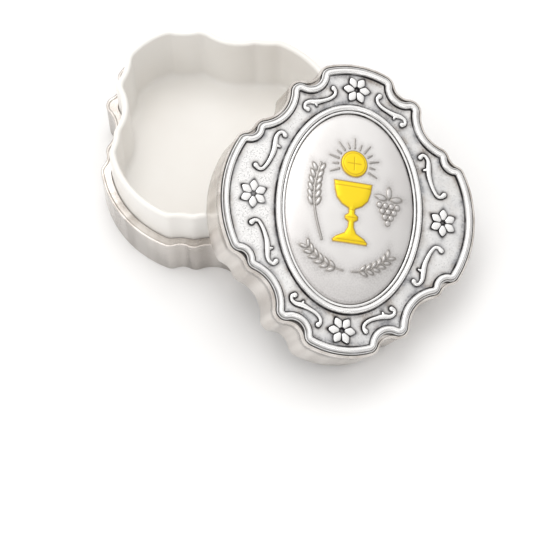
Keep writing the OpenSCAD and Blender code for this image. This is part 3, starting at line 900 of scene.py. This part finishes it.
plaque = {
    "half": (16.35, 23.9),
    "edge": 12.45,
    "under": 0.3,
    "rise": 1.8,
    "crown": 0.8,
    "cells": 300,
    "relief": 0.5,
    "softness": {"cup": 2.0, "other": 0.75},      # how far in from its edge a relief keeps rising
    "cup": [(0, -9.2), (4.3, -9.2), (4.5, -8.6), (3.6, -7.7), (1.5, -6.6), (0.8, -5.2), (0.75, -3.9), (1.7, -3.2),
            (1.7, -2.4), (0.8, -1.7), (0.85, -0.6), (2.6, 0.3), (4.0, 1.8), (4.6, 3.8), (4.9, 6.2), (0, 6.2)],
    "wafer": {"centre": (0.0, 10.8), "radius": 3.4},
    "engraved": [[(-4.4, 4.9), (4.4, 4.9)], [(-3.9, -8.45), (3.9, -8.45)], [(-1.5, -2.8), (1.5, -2.8)],
                 [(-0.8, -0.9), (0.8, -0.9)], [(0.0, 9.1), (0.0, 12.5)], [(-1.7, 10.8), (1.7, 10.8)]],
    "engravedRing": 2.75,
    "engravedDepth": 0.08,
    # in these a rise is a share of the full relief
    "ear": {"start": (-7.0, -9.0), "bow": 2.6, "bend": 150, "length": 19, "kernels": 6, "first": 0.46, "step": 0.09,
            "aside": 0.95, "up": 0.5, "lean": 26, "kernelHalf": (1.25, 0.56), "kernelRise": 0.85,
            "stalkHalf": 0.26, "stalkRise": 0.6, "stalkPoints": 12},
    "grapes": {"at": (9.4, 1.6), "rows": 4, "across": 1.6, "down": 1.44, "radius": 0.76, "leafTurns": (10, 90, 170),
               "leafUp": 1.6, "leafReach": (2.1, 1.6), "leafHalf": (1.6, 0.75), "leafRise": 0.8},
    "rays": {"count": 13, "first": -24, "last": 204, "from": 4.15, "to": (6.5, 5.4), "half": (0.24, 0.1),
             "rise": 0.7},
    "spray": {"centre": (0.0, -2.6), "radius": 13.4, "from": 5, "to": 47, "stemHalf": 0.2, "stemRise": 0.6,
              "stemPoints": 10, "leaves": 6, "ahead": 1.2, "lean": 0.6, "out": 1.15, "leafHalf": (1.15, 0.48),
              "leafRise": 0.85},
    # darkness and reach of the lines, in millimetres; the rim's reach is a share of the half width
    "lines": {"dark": 0.95, "inset": 0.05, "reach": 0.17, "engravedDark": 0.6, "engravedReach": 0.13,
              "rimDark": 0.8, "rimReach": 0.012, "giltEdge": 0.05},
    # dull film round the ornament and at the rim, and painted shade towards the lower end
    "haze": {"ornament": 0.5, "reach": 0.9, "rim": 0.35, "rimFrom": 0.965, "low": 0.45, "lowerShadeSpan": (4, 20),
             "lowerShadeRim": (0.45, 0.4)},
}


# each motif is a list of (distance outside the shape, share of the full relief)

def wheatEar(flat):
    e = plaque["ear"]

    def stalkPoint(t):
        return np.array(e["start"]) + np.array([-e["bow"] * math.sin(math.radians(e["bend"] * t)), e["length"] * t])

    shapes = []
    for i in range(e["kernels"]):
        for way in (-1, 1):
            at = stalkPoint(e["first"] + e["step"] * i) + (way * e["aside"], e["up"])
            turn = math.radians(90 - way * e["lean"])
            shapes.append((ellipseDistance(flat, at, turn, *e["kernelHalf"]), e["kernelRise"]))
    stalk = np.array([[*stalkPoint(t), e["stalkHalf"]] for t in np.linspace(0, 1, e["stalkPoints"])])
    return shapes + [(strokeDistance(flat, stalk), e["stalkRise"])]


def grapeBunch(flat):
    g = plaque["grapes"]
    shapes = []
    corner = np.array(g["at"])
    for row in range(g["rows"]):
        for i in range(g["rows"] - row):
            at = corner + ((i - (g["rows"] - 1 - row) / 2) * g["across"], -row * g["down"])
            shapes.append((circleDistance(flat, at, g["radius"]), 1.0))
    for turn in g["leafTurns"]:
        a = math.radians(turn)
        reachX, reachY = g["leafReach"]
        at = corner + (reachX * math.cos(a), g["leafUp"] + reachY * math.sin(a))
        shapes.append((ellipseDistance(flat, at, a, *g["leafHalf"]), g["leafRise"]))
    return shapes


def rays(flat):      # round the upper half of the wafer, long and short in turn
    r = plaque["rays"]
    centre = np.array(plaque["wafer"]["centre"])
    rootHalf, tipHalf = r["half"]
    shapes = []
    for i, turn in enumerate(np.linspace(r["first"], r["last"], r["count"])):
        way = np.array([math.cos(math.radians(turn)), math.sin(math.radians(turn))])
        ray = [[*(centre + way * r["from"]), rootHalf], [*(centre + way * r["to"][i % 2]), tipHalf]]
        shapes.append((strokeDistance(flat, np.array(ray)), r["rise"]))
    return shapes


def sprays(flat):      # two leafy sprays under the cup's foot
    s = plaque["spray"]
    shapes = []
    for side in (-1, 1):
        def stemPoint(angle):
            a = math.radians(angle)
            return np.array(s["centre"]) + s["radius"] * np.array([side * math.sin(a), -math.cos(a)])
        stem = np.array([[*stemPoint(a), s["stemHalf"]] for a in np.linspace(s["from"], s["to"], s["stemPoints"])])
        shapes.append((strokeDistance(flat, stem), s["stemRise"]))
        for i in range(s["leaves"]):
            angle = s["from"] + (s["to"] - s["from"]) * (i + s["ahead"]) / s["leaves"]
            for lean in (-s["lean"], s["lean"]):
                turn = math.radians(angle) + lean
                way = np.array([side * math.cos(turn), math.sin(turn)])
                at = stemPoint(angle) + way * s["out"]
                shapes.append((ellipseDistance(flat, at, math.atan2(way[1], way[0]), *s["leafHalf"]), s["leafRise"]))
    return shapes


def ovalGrid():      # a square grid carried onto the oval: places, and how far out each is, from 0 to 1
    p = plaque
    side = np.linspace(-1, 1, p["cells"] + 1)
    gx, gy = np.meshgrid(side, side)
    r = np.maximum(np.abs(gx), np.abs(gy))
    length = np.maximum(np.hypot(gx, gy), tiny)
    ux, uy = gx / length * r, gy / length * r
    flat = np.column_stack([(ux * p["half"][0]).ravel(), (uy * p["half"][1]).ravel()])
    return flat, np.minimum(np.hypot(ux, uy).ravel(), 1.0)


def closedGrid(flat, z):      # the grid's faces, a short wall round it and a flat back
    n = plaque["cells"]
    count = (n + 1) ** 2
    i = np.arange(n)
    a = (i[:, None] * (n + 1) + i[None]).ravel()
    faces = np.stack([a, a + 1, a + n + 2, a + n + 1], 1).tolist()
    border = np.concatenate([np.arange(n + 1), np.arange(1, n + 1) * (n + 1) + n,
                             n * (n + 1) + np.arange(n - 1, -1, -1), np.arange(n - 1, 0, -1) * (n + 1)])
    wall = lift(flat[border], plaque["edge"] - plaque["under"])
    k = np.arange(len(border))
    faces += np.stack([border[k], count + k, count + (k + 1) % len(k), border[(k + 1) % len(k)]], 1).tolist()
    faces.append((count + k).tolist())
    mesh = bpy.data.meshes.new("plaque")
    mesh.from_pydata(np.vstack([lift(flat, z), wall]).tolist(), [], faces)
    return mesh, len(border)


def makePlaque():
    p = plaque
    wafer, soft, line, filmAndShade = (p[k] for k in ("wafer", "softness", "lines", "haze"))
    flat, out = ovalGrid()
    z = p["edge"] + p["rise"] * np.maximum(1 - out ** 2, 0) ** p["crown"]

    # gilt cup and wafer, then the silver motifs
    half = np.array(p["cup"])
    cupShape = np.vstack([half, half[-2:0:-1] * (-1, 1)])
    cupGap = polygonDistance(flat, cupShape)
    waferGap = circleDistance(flat, wafer["centre"], wafer["radius"])
    motifs = [*wheatEar(flat), *grapeBunch(flat), *rays(flat), *sprays(flat)]
    shapes = [(cupGap, 1.0, soft["cup"]), (waferGap, 1.0, soft["other"])]
    shapes += [(gap, share, soft["other"]) for gap, share in motifs]
    rise = np.zeros(len(flat))
    nearest = np.full(len(flat), farOff)
    for gap, share, softness in shapes:
        depth = np.clip(-gap / softness, 0, 1)
        rise = np.maximum(rise, share * np.sqrt(1 - (1 - depth) ** 2))
        nearest = np.minimum(nearest, np.abs(gap + line["inset"]))
    engraved = [strokeDistance(flat, lift(np.array(ends), 0.0)) for ends in p["engraved"]]
    engraved.append(np.abs(circleDistance(flat, wafer["centre"], p["engravedRing"])))
    carved = fading(np.min(engraved, axis=0), line["engravedReach"])
    z += rise * p["relief"]
    z -= p["engravedDepth"] * carved

    # where it is dark, gilt and dusty, and where painted shade darkens the lower end
    goldGap = np.minimum(cupGap, waferGap)
    recess = np.maximum(line["dark"] * fading(nearest, line["reach"]),
                        line["rimDark"] * fading(1 - out, line["rimReach"]))
    recess = np.maximum(recess, line["engravedDark"] * carved)
    gilt = 1 / (1 + np.exp(np.clip(goldGap / line["giltEdge"], -40, 40)))
    outside = np.minimum(goldGap, np.min([gap for gap, _ in motifs], axis=0))
    (lowFrom, lowOver), (rimFrom, rimOver) = filmAndShade["lowerShadeSpan"], filmAndShade["lowerShadeRim"]
    # painted shade: darker towards the lower end and towards the rim of the dome
    low = np.clip((-flat[:, 1] - lowFrom) / lowOver, 0, 1) * np.clip((out - rimFrom) / rimOver, 0, 1)
    haze = np.clip(filmAndShade["ornament"] * fading(outside, filmAndShade["reach"]) + filmAndShade["rim"] * (out > filmAndShade["rimFrom"])
                   + filmAndShade["low"] * low, 0, 1)

    mesh, wallPoints = closedGrid(flat, z)
    mesh.transform(Matrix.Scale(mm, 4) @ leanMatrix)
    for label, values in (("recess", recess), ("gilt", gilt), ("haze", haze)):
        pointValues(mesh, label, np.concatenate([values, np.zeros(wallPoints)]))
    return mesh


plaqueMesh = makePlaque()
addPiece(plaqueMesh, "lid", finishes["plaqueSilver"], ["plaque_sheet"], sharpAngle=80)
print("plaque made:", len(plaqueMesh.vertices), "points")


# floor, light and camera

studio = {
    "view": {"elevation": 61.45, "yaw": 36.62, "roll": 1.51, "target": (-12.63, -32.88, 10.0), "distance": 485.0,
             "focal": 1975.0, "imageWidth": 533, "sensorWidth": 36, "clip": (0.01, 20)},
    "lights": [
        # name, place in millimetres, size, power
        ("overhead", (60, 140, 620), 420, 0.75),
        ("leftSide", (-560, -60, 360), 320, 0.3),
        ("front", (-150, -560, 300), 300, 0.3),
    ],
    "lightColour": (1.0, 0.99, 0.98),
    "lightTarget": (-8, -25, 10),
    # brightness of the surroundings, from straight down to straight up
    "surroundings": [(0.0, 0.85), (0.5, 0.5), (0.6, 0.58), (0.75, 0.92), (0.88, 1.12), (1.0, 1.16)],
    # and how that varies with the direction's Y, from front to back
    "frontToBack": (-0.8, 0.6, 0.66, 1.22),
    "floorHalf": 3,
    "floorRoughness": 0.75,
    "floorCloud": (6, 2),
    "floorColours": ((0.93, 0.93, 0.93), (0.95, 0.95, 0.95)),
}


def makeFloor():
    s = studio
    material, tree, shader = newFinish("floorWhite", {"Roughness": s["floorRoughness"]})
    cloud = objectNoise(tree, *s["floorCloud"])
    tree.links.new(mixColours(tree, cloud, *s["floorColours"]), shader.inputs["Base Color"])
    mesh = bpy.data.meshes.new("floor")
    h = s["floorHalf"]
    mesh.from_pydata([(-h, -h, 0), (h, -h, 0), (h, h, 0), (-h, h, 0)], [], [(0, 1, 2, 3)])
    mesh.materials.append(material)
    obj = bpy.data.objects.new("floor", mesh)
    bpy.context.scene.collection.objects.link(obj)


def makeWorld():
    s = studio
    world = bpy.data.worlds.new("studioWorld")
    world.use_nodes = True
    tree = world.node_tree
    background = tree.nodes["Background"]
    direction = makeNode(tree, "ShaderNodeTexCoord").outputs["Generated"]
    _, y, z = makeNode(tree, "ShaderNodeSeparateXYZ", {0: direction}).outputs
    ramp = makeNode(tree, "ShaderNodeValToRGB", {0: remap(tree, z, -1, 1)})
    elements = ramp.color_ramp.elements
    while len(elements) < len(s["surroundings"]):
        elements.new(0.5)
    for element, (spot, _) in zip(elements, s["surroundings"]):
        element.position = spot
    for element, (_, level) in zip(elements, s["surroundings"]):
        element.color = (*(level * share for share in s["lightColour"]), 1)
    tree.links.new(ramp.outputs[0], background.inputs["Color"])
    tree.links.new(remap(tree, y, *s["frontToBack"]), background.inputs["Strength"])
    bpy.context.scene.world = world


def makeLights():
    for name, place, size, power in studio["lights"]:
        data = bpy.data.lights.new(name, "AREA")
        data.shape = "DISK"
        data.size = size * mm
        data.energy = power
        data.color = studio["lightColour"]
        obj = bpy.data.objects.new(name, data)
        obj.location = Vector(place) * mm
        toward = Vector(studio["lightTarget"]) * mm - obj.location
        obj.rotation_euler = toward.to_track_quat("-Z", "Y").to_euler()
        bpy.context.scene.collection.objects.link(obj)


def makeCamera():
    v = studio["view"]
    el, yaw, roll = (math.radians(v[k]) for k in ("elevation", "yaw", "roll"))
    forward = Vector((math.sin(yaw) * math.cos(el), math.cos(yaw) * math.cos(el), -math.sin(el)))
    right = Vector((math.cos(yaw), -math.sin(yaw), 0))
    up = right.cross(forward)
    rolledRight = right * math.cos(roll) - up * math.sin(roll)
    rolledUp = right * math.sin(roll) + up * math.cos(roll)
    data = bpy.data.cameras.new("camera")
    data.sensor_width = v["sensorWidth"]
    data.lens = v["focal"] * v["sensorWidth"] / v["imageWidth"]
    data.clip_start, data.clip_end = v["clip"]
    obj = bpy.data.objects.new("camera", data)
    turn = Matrix((rolledRight, rolledUp, -forward)).transposed().to_4x4()
    obj.matrix_world = Matrix.Translation((Vector(v["target"]) - forward * v["distance"]) * mm) @ turn
    bpy.context.scene.collection.objects.link(obj)
    bpy.context.scene.camera = obj


makeFloor()
makeWorld()
makeLights()
makeCamera()
bpy.context.scene.view_settings.view_transform = "Standard"
print("studio made, scene complete")
